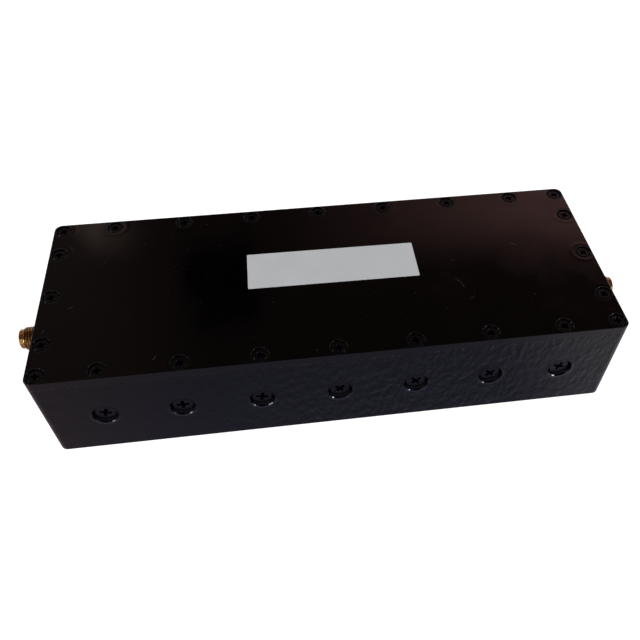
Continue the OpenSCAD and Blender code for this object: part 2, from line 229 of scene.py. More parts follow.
def blend_colours(tree, mask, colour, other):
    """Colour where mask is 0 and other where it is 1."""
    node = add_node(tree, "ShaderNodeMix", {0: mask}, data_type="RGBA")
    # The node has sockets for every kind of data: those of the two colours are 6 and 7
    for socket, value in ((node.inputs[6], colour), (node.inputs[7], other)):
        if isinstance(value, bpy.types.NodeSocket):
            tree.links.new(value, socket)
        else:
            socket.default_value = (*value[:3], 1)
    return node.outputs[2]


def surface_noise(tree, place, size, detail=2.0, roughness=0.5):
    """Noise from 0 to 1 with lumps of about the given size in millimetres."""
    return add_node(tree, "ShaderNodeTexNoise", {
        "Vector": place, "Scale": 1 / size, "Detail": detail, "Roughness": roughness,
    }).outputs["Fac"]


def spread(tree, noise, low, high):
    """Values from low to high for the range that most of a noise lies in."""
    return remap(tree, noise, 0.3, 0.7, low, high)


def shaded(tree, noise, colour, darkest, lightest):
    """Colour that a noise varies between two multiples of its level."""
    return blend_colours(tree, noise, [darkest * v for v in colour], [lightest * v for v in colour])


def new_group(name, inputs, outputs):
    """Starts a shader node group. Inputs map a name to its default, outputs to a socket kind."""
    group = bpy.data.node_groups.new(name, "ShaderNodeTree")
    for label, value in inputs.items():
        kind = "NodeSocketVector" if isinstance(value, tuple) else "NodeSocketFloat"
        socket = group.interface.new_socket(label, in_out="INPUT", socket_type=kind)
        socket.default_value = value
    for label, kind in outputs.items():
        group.interface.new_socket(label, in_out="OUTPUT", socket_type=kind)
    source = group.nodes.new("NodeGroupInput")
    return group, source.outputs, group.nodes.new("NodeGroupOutput").inputs


def use_group(tree, group, **inputs):
    """Places a node group and returns its outputs. An underscore in a name stands for a space."""
    node = add_node(tree, "ShaderNodeGroup", node_tree=group)
    for name, value in inputs.items():
        socket = node.inputs[name.replace("_", " ").capitalize()]
        if isinstance(value, bpy.types.NodeSocket):
            tree.links.new(value, socket)
        else:
            socket.default_value = value
    return node.outputs


def build_peel_group(name):
    """Orange peel: soft lumps with a finer skin on them."""
    skin_fineness, skin_height = 2.6, 0.35
    group, source, result = new_group(
        name, {"Place": (0, 0, 0), "Size": 1.0}, {"Height": "NodeSocketFloat"})
    scale = calculate(group, "DIVIDE", 1.0, source["Size"])
    lumps = add_node(group, "ShaderNodeTexVoronoi", {
        "Vector": source["Place"], "Scale": scale, "Smoothness": 1.0,
    }, feature="SMOOTH_F1").outputs["Distance"]
    skin = add_node(group, "ShaderNodeTexNoise", {
        "Vector": source["Place"], "Scale": calculate(group, "MULTIPLY", scale, skin_fineness),
        "Detail": 1.0,
    }).outputs["Fac"]
    height = calculate(group, "MULTIPLY_ADD", skin, skin_height, lumps)
    group.links.new(height, result["Height"])
    return group


def build_hammer_group(name):
    """Hammered skin: upright dents with soft rims, drawn out downwards."""
    upright, dent_height = (1, 1, 0.6), 0.45
    group, source, result = new_group(
        name, {"Place": (0, 0, 0), "Size": 2.4}, {"Height": "NodeSocketFloat"})
    drawn = add_node(group, "ShaderNodeVectorMath", {0: source["Place"], 1: upright},
                     operation="MULTIPLY").outputs["Vector"]
    scale = calculate(group, "DIVIDE", 1.0, source["Size"])
    lumps = add_node(group, "ShaderNodeTexNoise", {
        "Vector": drawn, "Scale": scale, "Detail": 1.0, "Roughness": 0.4,
    }).outputs["Fac"]
    dents = add_node(group, "ShaderNodeTexVoronoi", {
        "Vector": drawn, "Scale": scale, "Smoothness": 0.8,
    }, feature="SMOOTH_F1").outputs["Distance"]
    height = calculate(group, "MULTIPLY_ADD", dents, dent_height, lumps)
    group.links.new(height, result["Height"])
    return group


def build_wear_group(name):
    """Joint line: bright specks along the two edges that meet at a given height."""
    group, source, result = new_group(
        name, {"Place": (0, 0, 0), "Level": 0.0, "Width": 0.2}, {"Mask": "NodeSocketFloat"})
    height = add_node(group, "ShaderNodeSeparateXYZ", {0: source["Place"]}).outputs["Z"]
    gap = calculate(group, "ABSOLUTE", calculate(group, "SUBTRACT", height, source["Level"]))
    band = remap(group, gap, source["Width"], 0.0)
    specks = surface_noise(group, source["Place"], size=0.7, detail=4, roughness=0.8)
    patches = surface_noise(group, source["Place"], size=7)
    rare = calculate(group, "MULTIPLY", remap(group, specks, 0.50, 0.62),
                     remap(group, patches, 0.3, 0.6))
    group.links.new(calculate(group, "MULTIPLY", band, rare), result["Mask"])
    return group


def build_speck_group(name):
    """Dust: small round specks, in some of the cells only and each of its own size."""
    smallest, size_range = 0.4, 0.8
    soft_edge = 0.6
    group, source, result = new_group(
        name, {"Place": (0, 0, 0), "Spacing": 5.0, "Share": 0.4, "Radius": 0.15},
        {"Mask": "NodeSocketFloat"})
    cells = add_node(group, "ShaderNodeTexVoronoi", {
        "Vector": source["Place"], "Scale": calculate(group, "DIVIDE", 1.0, source["Spacing"]),
    })
    chance = add_node(group, "ShaderNodeSeparateColor", {"Color": cells.outputs["Color"]})
    own_size = calculate(group, "MULTIPLY_ADD", chance.outputs["Green"], size_range, smallest)
    radius = calculate(group, "MULTIPLY", source["Radius"], own_size)
    distance = calculate(group, "MULTIPLY", cells.outputs["Distance"], source["Spacing"])
    speck = remap(group, calculate(group, "DIVIDE", distance, radius), 1.0, soft_edge)
    shown = calculate(group, "LESS_THAN", chance.outputs["Red"], source["Share"])
    group.links.new(calculate(group, "MULTIPLY", speck, shown), result["Mask"])
    return group


def build_mark_group(name):
    """Scratch, fibre or speck: a thin line between two points, fading at its edges."""
    group, source, result = new_group(
        name, {"Place": (0, 0, 0), "Start": (0, 0, 0), "End": (1, 0, 0), "Width": 0.1},
        {"Mask": "NodeSocketFloat"})

    def vector(operation, first, second, output="Vector"):
        return add_node(group, "ShaderNodeVectorMath", {0: first, 1: second},
                        operation=operation).outputs[output]

    along = vector("SUBTRACT", source["End"], source["Start"])
    offset = vector("SUBTRACT", source["Place"], source["Start"])
    share = calculate(group, "DIVIDE", vector("DOT_PRODUCT", offset, along, "Value"),
                      vector("DOT_PRODUCT", along, along, "Value"), clamp=True)
    nearest = add_node(group, "ShaderNodeVectorMath", {0: along, "Scale": share},
                       operation="SCALE").outputs["Vector"]
    distance = vector("DISTANCE", offset, nearest, "Value")
    core_share = 0.3
    core = calculate(group, "MULTIPLY", source["Width"], core_share)
    group.links.new(remap(group, distance, source["Width"], core), result["Mask"])
    return group


def build_turning_group(name):
    """Turned finish: fine rings across an axis, with a slow change of tone between them."""
    group, source, result = new_group(
        name, {"Along": 0.0, "Pitch": 0.05},
        {"Height": "NodeSocketFloat", "Tone": "NodeSocketFloat"})
    rings = add_node(group, "ShaderNodeTexNoise", {
        "W": source["Along"], "Scale": calculate(group, "DIVIDE", 1.0, source["Pitch"]),
        "Detail": 2.0,
    }, noise_dimensions="1D").outputs["Fac"]
    tone = add_node(group, "ShaderNodeTexNoise", {
        "W": source["Along"], "Scale": 0.7, "Detail": 1.0,
    }, noise_dimensions="1D").outputs["Fac"]
    group.links.new(rings, result["Height"])
    group.links.new(tone, result["Tone"])
    return group


def build_distance_group(name):
    """Distance from the nearest cover screw, found from the pitches of the rows."""
    group, source, result = new_group(
        name, {"Place": (0, 0, 0), "Pitch x": 19.05, "Pitch y": 15.9, "Corner x": 71.1,
               "Corner y": 25.4, "Last x": 3.0, "Last y": 1.0},
        {"Distance": "NodeSocketFloat"})
    place = add_node(group, "ShaderNodeSeparateXYZ", {0: source["Place"]}).outputs

    def to_nearest(value, pitch, last):
        step = calculate(group, "ROUND", calculate(group, "DIVIDE", value, pitch))
        kept = calculate(group, "MAXIMUM", calculate(group, "MINIMUM", step, last),
                         calculate(group, "MULTIPLY", last, -1.0))
        return calculate(group, "SUBTRACT", value, calculate(group, "MULTIPLY", kept, pitch))

    def distance(across, along):
        squares = calculate(group, "MULTIPLY_ADD", across, across,
                            calculate(group, "MULTIPLY", along, along))
        return calculate(group, "SQRT", squares)

    edge_x = calculate(group, "SUBTRACT", calculate(group, "ABSOLUTE", place["X"]), source["Corner x"])
    edge_y = calculate(group, "SUBTRACT", calculate(group, "ABSOLUTE", place["Y"]), source["Corner y"])
    row_x = to_nearest(place["X"], source["Pitch x"], source["Last x"])
    row_y = to_nearest(place["Y"], source["Pitch y"], source["Last y"])
    nearest = calculate(group, "MINIMUM", distance(row_x, edge_y), distance(edge_x, row_y))
    nearest = calculate(group, "MINIMUM", nearest, distance(edge_x, edge_y))
    group.links.new(nearest, result["Distance"])
    return group


EFFECTS = {
    "Orange Peel": build_peel_group, "Hammered Skin": build_hammer_group,
    "Joint Wear": build_wear_group, "Dust Specks": build_speck_group,
    "Thin Mark": build_mark_group, "Turned Rings": build_turning_group,
    "Screw Distance": build_distance_group,
}


def effect(name):
    """Node group of that name, built the first time that it is asked for."""
    return bpy.data.node_groups.get(name) or EFFECTS[name](name)


class Finish:
    """A material with its shader, and the place on the surface in millimetres."""

    def __init__(self, name, **shader):
        self.material = bpy.data.materials.new(name)
        self.material.use_nodes = True
        self.tree = self.material.node_tree
        self.tree.nodes.clear()
        self.shader = add_node(self.tree, "ShaderNodeBsdfPrincipled", {
            key.replace("_", " ").title().replace("Ior", "IOR"): value
            for key, value in shader.items()
        })
        add_node(self.tree, "ShaderNodeOutputMaterial", {"Surface": self.shader.outputs[0]})
        object_place = add_node(self.tree, "ShaderNodeTexCoord").outputs["Object"]
        self.place = add_node(self.tree, "ShaderNodeVectorMath", {0: object_place, "Scale": 1 / MM},
                              operation="SCALE").outputs["Vector"]

    def feed(self, socket, value):
        """Links a socket that changes over the surface into the shader."""
        self.tree.links.new(value, self.shader.inputs[socket])

    def axis(self, name):
        """One coordinate of the place on the surface."""
        return add_node(self.tree, "ShaderNodeSeparateXYZ", {0: self.place}).outputs[name]

    def facing_up(self):
        """How far the surface faces up: 1 on top, 0 on a wall and -1 below."""
        normal = add_node(self.tree, "ShaderNodeNewGeometry").outputs["Normal"]
        return add_node(self.tree, "ShaderNodeSeparateXYZ", {0: normal}).outputs["Z"]

    def bump(self, height, relief, under=None):
        """Bends the normal by a height from 0 to 1 that stands for a relief in millimetres."""
        inputs = {"Height": height, "Distance": relief * MM, "Strength": 1.0}
        if under is not None:
            inputs["Normal"] = under
        return add_node(self.tree, "ShaderNodeBump", inputs).outputs["Normal"]

    def put_on(self, *objects):
        """Gives the finish to the objects."""
        for obj in objects:
            obj.data.materials.clear()
            obj.data.materials.append(self.material)


# Finishes

# Specular levels of the two paints and of the blackened screws
PAINT_LEVEL = 0.16
OXIDE_LEVEL = 0.13

# Colours of loose dust, of the chips along the joint, of scratches, and of the grey dust and painted
# light in the bores
DUST = (0.34, 0.32, 0.30)
CHIPPED = (0.30, 0.29, 0.29)
SCRATCHED = (0.20, 0.19, 0.19)
SETTLED_DUST_AND_LIGHT = (0.011, 0.011, 0.015)

# Painted shade: near-black colours of the countersinks round the cover screws' heads, and of the
# recesses of the cover screws and rod screws
SINK_SHADE_COLOUR = (0.003, 0.003, 0.004)
COVER_SCREW_RECESS_SHADE = (0.0004, 0.0004, 0.005)
ROD_SCREW_RECESS_SHADE = (0.0004, 0.0004, 0.006)
# What dust adds to the colour of the cover's sides
SIDE_HAZE = (0.0020, 0.0013, 0.0008)

# Radii round a cover screw in millimetres: its recess, the flat and the rim of its head, the edge of
# its countersink, and the low ring that stands in the paint there
COVER_RECESS_RADIUS = 1.2
HEAD_FLAT, HEAD_RIM = 1.55, 1.95
SINK_RADIUS = 2.28
RING_START, RING_CREST, RING_END = 2.5, 3.1, 4.4
# Radii round a rod screw in millimetres: its recess and its bore, with a little room
ROD_RECESS_RADIUS = 1.6
BORE_RADIUS = 3.15

# Places along X in millimetres where the dents grow, and where they flatten again
DENTS_GROW = (-45, 12)
DENTS_FLATTEN = (35, 62)

# Colours in the grooves of brass, gold and steel
BRASS_GROOVE = (0.10, 0.065, 0.03)
GOLD_GROOVE = (0.16, 0.09, 0.03)
STEEL_GROOVE = (0.08, 0.08, 0.08)


def plated_inside(finish):
    """Mask that is 1 in the cavity, where the walls carry silver plate and no paint."""
    tree = finish.tree
    # How far the mask reaches into the walls, and where it starts in the base's thickness
    margin, bottom = 0.02, 1.0
    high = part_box("housing")[1] / MM
    inner_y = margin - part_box("resonator_1")[0].y / MM
    inner_x = high.x - (high.y - inner_y) + margin
    in_x = calculate(tree, "LESS_THAN", calculate(tree, "ABSOLUTE", finish.axis("X")), inner_x)
    in_y = calculate(tree, "LESS_THAN", calculate(tree, "ABSOLUTE", finish.axis("Y")), inner_y)
    in_z = calculate(tree, "GREATER_THAN", finish.axis("Z"), bottom)
    return calculate(tree, "MULTIPLY", calculate(tree, "MULTIPLY", in_x, in_y), in_z)


def dusted(finish, colour, spacing, radius, share, strength):
    """Colour with dust specks on it."""
    specks = use_group(finish.tree, effect("Dust Specks"), place=finish.place, spacing=spacing,
                       share=share, radius=radius)["Mask"]
    amount = calculate(finish.tree, "MULTIPLY", specks, strength)
    return blend_colours(finish.tree, amount, colour, DUST)


def joint_worn(finish, colour, strength=0.17):
    """Colour with the bright specks that show along the joint under the cover."""
    wear = use_group(finish.tree, effect("Joint Wear"), place=finish.place,
                     level=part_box("housing")[1].z / MM, width=0.24)["Mask"]
    amount = calculate(finish.tree, "MULTIPLY", wear, strength)
    return blend_colours(finish.tree, amount, colour, CHIPPED)


def satin_colour(finish, paint, haze=(0.0, 0.0, 0.0)):
    """Satin paint's colour, a little uneven, with an even haze and fine dust on it."""
    cloud = surface_noise(finish.tree, finish.place, size=24, detail=3)
    hazed = [v + add for v, add in zip(paint.wall_colour, haze)]
    shade = shaded(finish.tree, cloud, hazed, 0.84, 1.16)
    return dusted(finish, shade, spacing=3.0, radius=0.12, share=0.3, strength=0.16)


def bore_distance(finish):
    """Distance in millimetres from the axis of the nearest rod screw."""
    tree = finish.tree
    axes = [sum(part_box(f"resonator_{i + 1}"), Vector()) / 2 / MM for i in range(RODS)]
    x, up = finish.axis("X"), calculate(tree, "SUBTRACT", finish.axis("Z"), axes[0].z)
    across = None
    for axis in axes:
        away = calculate(tree, "ABSOLUTE", calculate(tree, "SUBTRACT", x, axis.x))
        across = away if across is None else calculate(tree, "MINIMUM", across, away)
    squares = calculate(tree, "MULTIPLY_ADD", across, across, calculate(tree, "MULTIPLY", up, up))
    return calculate(tree, "SQRT", squares)


def settled_dust_and_light(finish, distance, colour):
    """Colour made lighter grey on the lower, upward-facing side of the rod screws' bores: partly
    settled dust, partly painted light from above.
    """
    tree = finish.tree
    # Depths below the front wall between which the dust and the painted light set in
    untouched, dusty = 0.50, 0.62
    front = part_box("housing")[0].y / MM
    depth = calculate(tree, "SUBTRACT", finish.axis("Y"), front)
    inside = calculate(tree, "LESS_THAN", distance, BORE_RADIUS)
    deep = calculate(tree, "MULTIPLY", inside, remap(tree, depth, untouched, dusty))
    dust_and_light = calculate(tree, "MULTIPLY", deep, remap(tree, finish.facing_up(), 0.1, 0.8))
    return blend_colours(tree, dust_and_light, colour, SETTLED_DUST_AND_LIGHT)


def satin_paint(paint, metal):
    """Satin black paint with orange peel that grows into hammered dents towards +X."""
    finish = Finish("satin_black_paint", specular_ior_level=PAINT_LEVEL)
    tree, place = finish.tree, finish.place
    inside = plated_inside(finish)
    painted = joint_worn(finish, satin_colour(finish, paint))
    distance = bore_distance(finish)
    # Grey dust and painted light on the lower side of the bores
    painted = settled_dust_and_light(finish, distance, painted)
    finish.feed("Base Color", blend_colours(tree, inside, painted, metal.silver))
    finish.feed("Metallic", inside)
    cloud = surface_noise(tree, place, size=9, detail=3)
    rough = spread(tree, cloud, paint.wall_roughness - 0.04, paint.wall_roughness + 0.06)
    rim, slope = paint.rim_radius / MM, 0.55
    rim_gloss, plate_gloss = 0.16, 0.08
    raised = remap(tree, distance, rim, rim - slope)
    rough = calculate(tree, "MULTIPLY_ADD", raised, -rim_gloss, rough)
    finish.feed("Roughness", calculate(tree, "MULTIPLY_ADD", inside, -plate_gloss, rough))
    peel = use_group(tree, effect("Orange Peel"), place=place, size=paint.peel_size / MM)["Height"]
    skin = finish.bump(peel, relief=0.010)
    dents = use_group(tree, effect("Hammered Skin"), place=place,
                      size=paint.hammer_size / MM)["Height"]
    x = finish.axis("X")
    grown = calculate(tree, "MULTIPLY", remap(tree, x, *DENTS_GROW, 0.10, 1.0),
                      remap(tree, x, *DENTS_FLATTEN, 1.0, 0.55))
    grown = calculate(tree, "MULTIPLY", calculate(tree, "SUBTRACT", 1.0, inside), grown)
    hammered = finish.bump(calculate(tree, "MULTIPLY", dents, grown), relief=0.42, under=skin)
    finish.feed("Normal", finish.bump(raised, relief=0.10, under=hammered))
    return finish


class Mark(NamedTuple):
    """Scratch, fibre or speck on the cover, from start to end, in millimetres."""

    start: tuple
    end: tuple
    width: float


COVER_MARKS = (
    Mark((-66.0, -4.9), (-65.0, -4.1), 0.09),
    Mark((-71.6, -12.2), (-70.9, -11.3), 0.09),
    Mark((-44.3, -24.0), (-43.6, -22.8), 0.11),
    Mark((51.9, 6.0), (53.3, 4.9), 0.14),
    Mark((34.0, 1.2), (35.0, 0.8), 0.08),
    Mark((33.5, -6.2), (34.7, -7.4), 0.08),
    Mark((34.7, -7.4), (35.1, -9.4), 0.08),
    Mark((35.8, -13.4), (36.7, -13.2), 0.08),
    Mark((-31.7, 23.8), (-31.65, 23.8), 0.16),
    Mark((-48.5, 17.4), (-48.45, 17.4), 0.15),
    Mark((-14.8, -8.8), (-14.75, -8.8), 0.19),
    Mark((-5.4, -25.8), (-5.35, -25.8), 0.20),
    Mark((21.9, -9.9), (21.95, -9.9), 0.16),
    Mark((52.9, -14.1), (52.95, -14.1), 0.17),
)


def cover_marks(finish):
    """Mask of the scratches, fibres and larger specks on the cover."""
    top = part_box("cover")[1].z / MM
    masks = [use_group(finish.tree, effect("Thin Mark"), place=finish.place,
                       start=(*mark.start, top), end=(*mark.end, top), width=mark.width)["Mask"]
             for mark in COVER_MARKS]
    total = masks[0]
    for mask in masks[1:]:
        total = calculate(finish.tree, "MAXIMUM", total, mask)
    return total


def screw_distance(finish, paint):
    """Distance in millimetres from the axis of the nearest cover screw."""
    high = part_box("cover")[1] / MM
    inset = paint.screw_edge / MM
    # The corner screws stand outside the even pitch, at least this far past the last of the row
    corner_gap = 8
    last_x = math.floor((high.x - inset - corner_gap) / (paint.screw_pitch_x / MM))
    return use_group(finish.tree, effect("Screw Distance"), place=finish.place,
                     pitch_x=paint.screw_pitch_x / MM, pitch_y=paint.screw_pitch_y / MM,
                     corner_x=high.x - inset, corner_y=high.y - inset, last_x=last_x)["Distance"]


def gloss_paint(paint):
    """Gloss black paint with rings round the screws, painted shade in their countersinks, dust, marks
    and satin edges.
    """
    finish = Finish("gloss_black_paint", specular_ior_level=PAINT_LEVEL)
    tree, place = finish.tree, finish.place
    edge = remap(tree, calculate(tree, "ABSOLUTE", finish.facing_up()), 0.62, 0.35)
    marks = cover_marks(finish)
    dust = dusted(finish, paint.cover_colour, spacing=1.6, radius=0.10, share=0.40, strength=0.10)
    dust = dusted(finish, dust, spacing=8.0, radius=0.16, share=0.5, strength=0.5)
    mark_strength, mark_roughness = 0.13, 0.3
    face = blend_colours(tree, calculate(tree, "MULTIPLY", marks, mark_strength), dust, SCRATCHED)
    dusty = satin_colour(finish, paint, haze=SIDE_HAZE)
    painted = blend_colours(tree, edge, face, joint_worn(finish, dusty))
    distance = screw_distance(finish, paint)
    # The countersink is painted near black and nearly without reflection: painted shade round the
    # screw head
    sink_metal = 0.8
    sink = calculate(tree, "LESS_THAN", distance, SINK_RADIUS)
    finish.feed("Base Color", blend_colours(tree, sink, painted, SINK_SHADE_COLOUR))
    finish.feed("Metallic", calculate(tree, "MULTIPLY", sink, sink_metal))
    smudge = surface_noise(tree, place, size=17, detail=4, roughness=0.6)
    rough = remap(tree, smudge, 0.35, 0.7, paint.cover_roughness - 0.03, paint.cover_roughness + 0.07)
    rough = calculate(tree, "MULTIPLY_ADD", edge, paint.wall_roughness - paint.cover_roughness, rough)
    finish.feed("Roughness", calculate(tree, "MULTIPLY_ADD", marks, mark_roughness, rough))
    finish.feed("Normal", cover_relief(finish, distance, paint.peel_size / MM))
    return finish


def cover_relief(finish, distance, peel_size):
    """Normal of the gloss paint: long waves, drawn streaks, rings round the screws and peel."""
    tree, place = finish.tree, finish.place
    # The streaks run along Y, and a bead of paint stands at the edge of each countersink
    streaky = (1, 0.06, 1)
    bead_foot, bead_top = 0.10, 0.02
    waves = surface_noise(tree, place, size=28, detail=1)
    drawn = add_node(tree, "ShaderNodeVectorMath", {0: place, 1: streaky},
                     operation="MULTIPLY").outputs["Vector"]
    streaks = surface_noise(tree, drawn, size=1.1, detail=3)
    ring = calculate(tree, "MULTIPLY", remap(tree, distance, RING_START, RING_CREST),
                     remap(tree, distance, RING_END, RING_CREST))
    from_sink = calculate(tree, "ABSOLUTE", calculate(tree, "SUBTRACT", distance, SINK_RADIUS))
    bead = remap(tree, from_sink, bead_foot, bead_top)
    peel = use_group(tree, effect("Orange Peel"), place=place, size=peel_size)["Height"]
    normal = finish.bump(waves, relief=0.05)
    normal = finish.bump(streaks, relief=0.0014, under=normal)
    normal = finish.bump(ring, relief=0.010, under=normal)
    normal = finish.bump(bead, relief=0.018, under=normal)
    return finish.bump(peel, relief=0.0014, under=normal)


def recess_shade(tree, distance, radius, along, untouched, full_shade):
    """Mask of the painted shade in a cross recess: inside a radius, and from untouched to full shade
    down the screw.
    """
    central = calculate(tree, "LESS_THAN", distance, radius)
    return calculate(tree, "MULTIPLY", central, remap(tree, along, untouched, full_shade))


def dulled(tree, rough, recess):
    """Roughness that is higher in a recess, so that no glints show in it."""
    recess_roughness = 0.3
    return calculate(tree, "MULTIPLY_ADD", recess, recess_roughness, rough)


def black_oxide(metal, paint):
    """Blackened cover screws, with a rounded rim on their heads and painted shade in their recesses.
    """
    finish = Finish("black_oxide_steel", specular_ior_level=OXIDE_LEVEL)
    tree, place = finish.tree, finish.place
    distance = screw_distance(finish, paint)
    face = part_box("cover_screws")[1].z / MM
    recess = recess_shade(tree, distance, COVER_RECESS_RADIUS, finish.axis("Z"),
                         face - 0.01, face - 0.06)
    cloud = surface_noise(tree, place, size=0.7, detail=3)
    worn = shaded(tree, cloud, metal.oxide, 0.7, 1.5)
    # The recess is painted dark navy and nearly without reflection: painted shade in the cross recess
    finish.feed("Base Color", blend_colours(tree, recess, worn, COVER_SCREW_RECESS_SHADE))
    finish.feed("Metallic", recess)
    finish.feed("Roughness", dulled(tree, spread(tree, cloud, 0.18, 0.32), recess))
    grain = finish.bump(surface_noise(tree, place, size=0.25), relief=0.004)
    crown = remap(tree, distance, HEAD_RIM, HEAD_FLAT)
    finish.feed("Normal", finish.bump(crown, relief=0.22, under=grain))
    return finish


def painted_screws(paint):
    """Screws in the counterbores, coated like the wall, with painted shade in their recesses."""
    finish = Finish("satin_black_screws", specular_ior_level=PAINT_LEVEL)
    tree, place = finish.tree, finish.place
    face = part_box("rod_screws")[0].y / MM
    recess = recess_shade(tree, bore_distance(finish), ROD_RECESS_RADIUS, finish.axis("Y"),
                         face + 0.02, face + 0.1)
    coated = satin_colour(finish, paint)
    # The recess is painted dark navy and nearly without reflection: painted shade in the cross recess
    finish.feed("Base Color", blend_colours(tree, recess, coated, ROD_SCREW_RECESS_SHADE))
    finish.feed("Metallic", recess)
    cloud = surface_noise(tree, place, size=0.9, detail=3)
    finish.feed("Roughness", dulled(tree, spread(tree, cloud, 0.28, 0.4), recess))
    finish.feed("Normal", finish.bump(surface_noise(tree, place, size=0.5), relief=0.006))
    return finish


def silver_plate(metal):
    """Satin silver plate with a faint warm tarnish."""
    finish = Finish("silver_plate", metallic=1.0, roughness=0.3)
    tree, place = finish.tree, finish.place
    tarnish_colour = (0.66, 0.58, 0.42)
    patches = surface_noise(tree, place, size=6, detail=4, roughness=0.6)
    tarnish = remap(tree, patches, 0.45, 0.75, 0, 0.5)
    finish.feed("Base Color", blend_colours(tree, tarnish, metal.silver, tarnish_colour))
    rings = use_group(tree, effect("Turned Rings"), along=finish.axis("Y"), pitch=0.08)
    finish.feed("Roughness", spread(tree, rings["Tone"], 0.24, 0.36))
    finish.feed("Normal", finish.bump(rings["Height"], relief=0.002))
    return finish


def turned_metal(name, colour, groove_colour, axis, roughness):
    """Turned metal with rings across an axis, darker in the grooves of a cut thread."""
    finish = Finish(name, metallic=1.0, roughness=roughness)
    tree = finish.tree
    rings = use_group(tree, effect("Turned Rings"), along=finish.axis(axis), pitch=0.06)
    groove = add_node(tree, "ShaderNodeAttribute", attribute_name="groove").outputs["Fac"]
    cloud = surface_noise(tree, finish.place, size=1.6, detail=3)
    groove_darkening = calculate(tree, "MULTIPLY", remap(tree, groove, 0.25, 1.0, 0, 0.75),
                      remap(tree, cloud, 0.3, 0.6, 0.55, 1.0))
    toned = shaded(tree, rings["Tone"], colour, 0.86, 1.0)
    finish.feed("Base Color", blend_colours(tree, groove_darkening, toned, groove_colour))
    finish.feed("Roughness", spread(tree, cloud, roughness - 0.05, roughness + 0.08))
    finish.feed("Normal", finish.bump(rings["Height"], relief=0.0025))
    return finish


def fluoropolymer():
    """Milky insulator, cut on a lathe."""
    finish = Finish("fluoropolymer", roughness=0.38, subsurface_weight=0.2, subsurface_scale=0.0006)
    tree = finish.tree
    milky, whiter = (0.80, 0.80, 0.77), (0.88, 0.88, 0.86)
    cloud = surface_noise(tree, finish.place, size=1.2)
    finish.feed("Base Color", blend_colours(tree, cloud, milky, whiter))
    rings = use_group(tree, effect("Turned Rings"), along=finish.axis("X"), pitch=0.07)
    finish.feed("Normal", finish.bump(rings["Height"], relief=0.003))
    return finish


def label_film(label):
    """Matte white film with a fine tooth and a little dust."""
    finish = Finish("label_film", roughness=0.5, specular_ior_level=0.4)
    tree, place = finish.tree, finish.place
    speck_colour, speck_strength = (0.30, 0.29, 0.28), 0.35
    cloud = surface_noise(tree, place, size=7, detail=4)
    shade = shaded(tree, cloud, label.colour, 0.95, 1.04)
    specks = use_group(tree, effect("Dust Specks"), place=place, spacing=3.1, share=0.25,
                       radius=0.09)["Mask"]
    dust = calculate(tree, "MULTIPLY", specks, speck_strength)
    finish.feed("Base Color", blend_colours(tree, dust, shade, speck_colour))
    finish.feed("Roughness", spread(tree, cloud, 0.42, 0.58))
    tooth = surface_noise(tree, place, size=0.16, detail=3)
    finish.feed("Normal", finish.bump(tooth, relief=0.004))
    return finish


# Meshes

# Shares of a thread's pitch: its flat crest, its flanks and the run-out at both of its ends
THREAD_CREST = 0.125
THREAD_FLANKS = 0.7
THREAD_RUNOUT = 0.7
# Rings of vertices for each turn of a thread, and steps round a corner
RINGS_PER_TURN = 8
CORNER_STEPS = 6


class Lathe:
    """Builds turned pieces about +Z in a bmesh, ring by ring."""

    def __init__(self, segments=64):
        self.mesh = bmesh.new()
        self.groove = self.mesh.verts.layers.float.new("groove")
        self.segments = segments

    def ring(self, height, radius, depth_at=None, centre=(0, 0), segments=None):
        """Ring of vertices. depth_at gives the depth of a thread there, and its share of the whole."""
        count = segments or self.segments
        ring = []
        for i in range(count):
            angle = math.tau * i / count
            depth, share = depth_at(height, angle) if depth_at else (0.0, 0.0)
            r = radius - depth
            vertex = self.mesh.verts.new((
                centre[0] + r * math.cos(angle), centre[1] + r * math.sin(angle), height))
            vertex[self.groove] = share
            ring.append(vertex)
        return ring

    def outline(self, points, height):
        """Closed loop of vertices through the given points."""
        return [self.mesh.verts.new((x, y, height)) for x, y in points]

    def wall(self, low, high):
        """Band of faces between two loops of equal length, facing out if low is below high."""
        count = len(low)
        for i in range(count):
            j = (i + 1) % count
            self.mesh.faces.new((low[i], low[j], high[j], high[i]))

    def turn(self, rings):
        """Bands between all neighbours in a list of rings."""
        for low, high in zip(rings, rings[1:]):
            self.wall(low, high)

    def flat(self, loops, up):
        """Flat face with holes: the first loop is its outline."""
        edges = []
        for loop in loops:
            for i, vertex in enumerate(loop):
                pair = (vertex, loop[(i + 1) % len(loop)])
                edges.append(self.mesh.edges.get(pair) or self.mesh.edges.new(pair))
        made = bmesh.ops.triangle_fill(self.mesh, use_beauty=True, edges=edges,
                                       normal=(0, 0, 1 if up else -1))
        for face in made["geom"]:
            if isinstance(face, bmesh.types.BMFace):
                face.normal_update()
                if (face.normal.z > 0) != up:
                    face.normal_flip()

    def finish(self, name, matrix, sharp=35):
        """Turns the rings into an object at its place, with its edges sharp past an angle."""
        bmesh.ops.recalc_face_normals(self.mesh, faces=self.mesh.faces)
        data = bpy.data.meshes.new(name)
        self.mesh.transform(matrix)
        self.mesh.to_mesh(data)
        self.mesh.free()
        data.shade_smooth()
        data.set_sharp_from_angle(angle=math.radians(sharp))
        obj = bpy.data.objects.new(name, data)
        bpy.context.scene.collection.objects.link(obj)
        return obj


def thread_cut(low, high, pitch, depth):
    """Function that gives the depth of a helical thread between two heights, and its share."""
    def depth_at(height, angle):
        phase = (height / pitch - angle / math.tau) % 1
        slope = abs(2 * phase - 1)
        share = min(1.0, max(0.0, (slope - THREAD_CREST) / THREAD_FLANKS))
        run = min(1.0, max(0.0, min(height - low, high - height) / (THREAD_RUNOUT * pitch)))
        return depth * share * run, share * run
    return depth_at


def steps_between(low, high, size):
    """Even heights from low to high, both included, no further apart than size."""
    count = max(1, math.ceil((high - low) / size))
    return [low + (high - low) * i / count for i in range(count + 1)]


